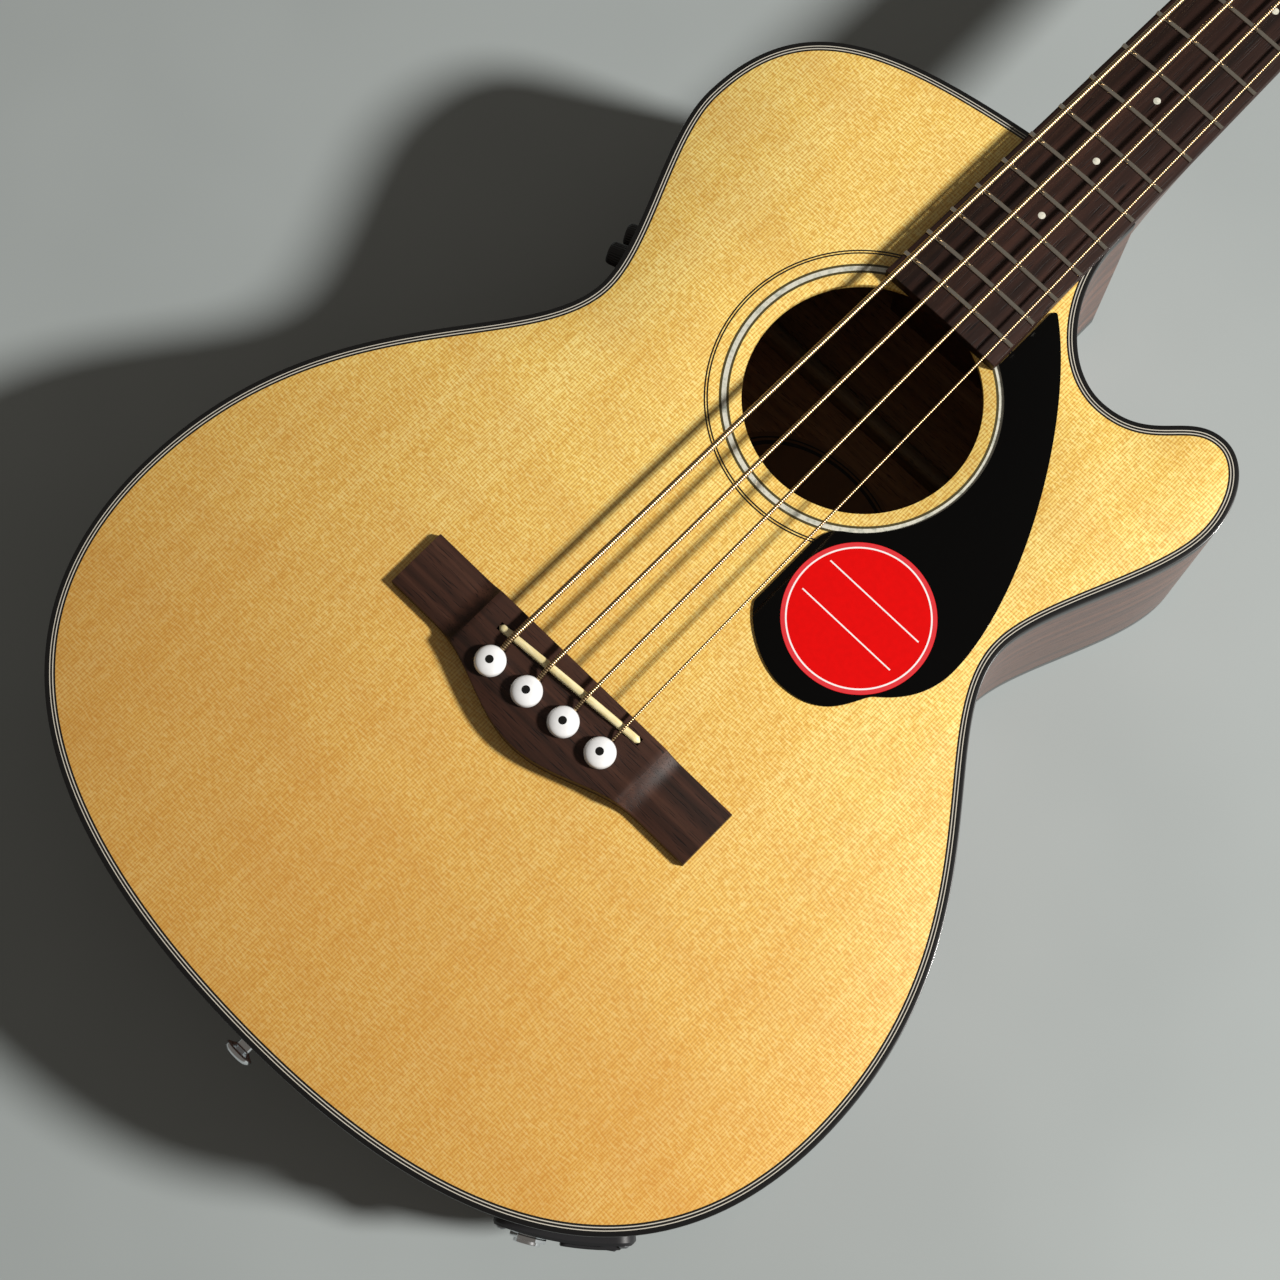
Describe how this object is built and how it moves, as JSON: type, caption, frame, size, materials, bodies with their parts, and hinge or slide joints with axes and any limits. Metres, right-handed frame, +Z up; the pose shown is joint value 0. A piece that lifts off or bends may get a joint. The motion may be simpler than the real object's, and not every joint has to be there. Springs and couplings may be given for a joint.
{
  "type": "acoustic bass guitar",
  "caption": "Acoustic bass guitar with a cutaway body, fretted neck, geared tuners, preamp controls, output jack and battery drawer; it lies on its back.",
  "frame": {"origin": "middle of the bounding box at the back, where the instrument lies on the floor", "axes": "+Y from the tail to the headstock, +X to the cutaway side, +Z up out of the soundboard"},
  "size_m": [0.388, 1.1996, 0.1298],
  "materials": {
    "spruce_top": "satin",
    "mahogany": "satin",
    "brace_spruce": "matte",
    "rosewood": "satin",
    "neck_wood": "satin",
    "gloss_black": "gloss",
    "pearl": "gloss",
    "bone": "satin",
    "white_plastic": "gloss",
    "bronze_strings": "satin",
    "chrome_parts": "polished",
    "rod_steel": "satin",
    "cell_steel": "satin",
    "matte_black": "matte"
  },
  "bodies": {
    "instrument": {"back_binding": "gloss_black", "back_brace_1": "brace_spruce", "back_brace_2": "brace_spruce", "back_brace_3": "brace_spruce", "back_lining_bass": "brace_spruce", "back_lining_treble": "brace_spruce", "back_panel": "mahogany", "bridge": "rosewood", "bridge_pin_a": "white_plastic", "bridge_pin_d": "white_plastic", "bridge_pin_e": "white_plastic", "bridge_pin_g": "white_plastic", "bridge_plate": "rosewood", "fingerboard": "rosewood", "headstock_overlay": "rosewood", "jack_plate": "matte_black", "neck": "neck_wood", "neck_block": "mahogany", "nut": "bone", "output_jack": "chrome_parts", "pickguard": "gloss_black", "preamp_panel": "matte_black", "rosette": "pearl", "saddle": "bone", "side_bass": "mahogany", "side_treble": "mahogany", "soundboard_bass": "spruce_top", "soundboard_treble": "spruce_top", "strap_button": "chrome_parts", "string_a": "bronze_strings", "string_d": "bronze_strings", "string_e": "bronze_strings", "string_g": "bronze_strings", "tail_block": "mahogany", "tone_bar": "brace_spruce", "top_binding": "gloss_black", "top_lining_bass": "brace_spruce", "top_lining_treble": "brace_spruce", "transverse_brace": "brace_spruce", "truss_rod": "rod_steel", "tuner_plate_a": "chrome_parts", "tuner_plate_d": "chrome_parts", "tuner_plate_e": "chrome_parts", "tuner_plate_g": "chrome_parts", "x_brace_long": "brace_spruce", "x_brace_notched": "brace_spruce"},
    "key_e": {"tuner_key_e": "chrome_parts"},
    "key_a": {"tuner_key_a": "chrome_parts"},
    "key_d": {"tuner_key_d": "chrome_parts"},
    "key_g": {"tuner_key_g": "chrome_parts"},
    "post_e": {"tuner_post_e": "chrome_parts"},
    "post_a": {"tuner_post_a": "chrome_parts"},
    "post_d": {"tuner_post_d": "chrome_parts"},
    "post_g": {"tuner_post_g": "chrome_parts"},
    "volume_knob": {"volume_knob": "matte_black"},
    "tone_knob": {"tone_knob": "matte_black"},
    "tuner_button": {"tuner_button": "matte_black"},
    "drawer": {"battery_drawer": "matte_black", "battery": "cell_steel"},
    "truss_rod_nut": {"truss_rod_nut": "chrome_parts"}
  },
  "joints": [
    {"name": "key_e_turn", "type": "hinge", "parent": "instrument", "child": "key_e", "pos_m": [-0.044, 0.47758, 0.08202], "axis": [-1, 0, 0], "continuous": true},
    {"name": "post_e_turn", "type": "hinge", "parent": "instrument", "child": "post_e", "pos_m": [-0.023, 0.46723, 0.09675], "axis": [0, 0.225, 0.9744], "continuous": true},
    {"name": "key_a_turn", "type": "hinge", "parent": "instrument", "child": "key_a", "pos_m": [-0.044, 0.55163, 0.06492], "axis": [-1, 0, 0], "continuous": true},
    {"name": "post_a_turn", "type": "hinge", "parent": "instrument", "child": "post_a", "pos_m": [-0.023, 0.54128, 0.07966], "axis": [0, 0.225, 0.9744], "continuous": true},
    {"name": "key_d_turn", "type": "hinge", "parent": "instrument", "child": "key_d", "pos_m": [0.044, 0.55163, 0.06492], "axis": [1, 0, 0], "continuous": true},
    {"name": "post_d_turn", "type": "hinge", "parent": "instrument", "child": "post_d", "pos_m": [0.023, 0.54128, 0.07966], "axis": [0, 0.225, 0.9744], "continuous": true},
    {"name": "key_g_turn", "type": "hinge", "parent": "instrument", "child": "key_g", "pos_m": [0.044, 0.47758, 0.08202], "axis": [1, 0, 0], "continuous": true},
    {"name": "post_g_turn", "type": "hinge", "parent": "instrument", "child": "post_g", "pos_m": [0.023, 0.46723, 0.09675], "axis": [0, 0.225, 0.9744], "continuous": true},
    {"name": "volume_knob_turn", "type": "hinge", "parent": "instrument", "child": "volume_knob", "pos_m": [-0.123, -0.24607, 0.088], "axis": [-0.9407, -0.3391, 0], "range_deg": [-150, 150]},
    {"name": "tone_knob_turn", "type": "hinge", "parent": "instrument", "child": "tone_knob", "pos_m": [-0.12956, -0.22957, 0.07], "axis": [-0.9215, -0.3884, 0], "range_deg": [-150, 150]},
    {"name": "tuner_button_press", "type": "slide", "parent": "instrument", "child": "tuner_button", "axis": [0.9341, 0.3571, 0], "range_m": [0, 0.001], "stiffness_N_per_m": 200},
    {"name": "battery_drawer_slide", "type": "slide", "parent": "instrument", "child": "drawer", "axis": [0.584, -0.8118, 0], "range_m": [0, 0.054]},
    {"name": "truss_rod_nut_turn", "type": "hinge", "parent": "instrument", "child": "truss_rod_nut", "pos_m": [0, 0.43003, 0.1094], "axis": [0, 1, 0], "range_deg": [-180, 180]}
  ],
  "couplings": [
    {"joint": "post_e_turn", "follows": "key_e_turn", "ratio": -0.0625},
    {"joint": "post_a_turn", "follows": "key_a_turn", "ratio": -0.0625},
    {"joint": "post_d_turn", "follows": "key_d_turn", "ratio": 0.0625},
    {"joint": "post_g_turn", "follows": "key_g_turn", "ratio": 0.0625}
  ]
}
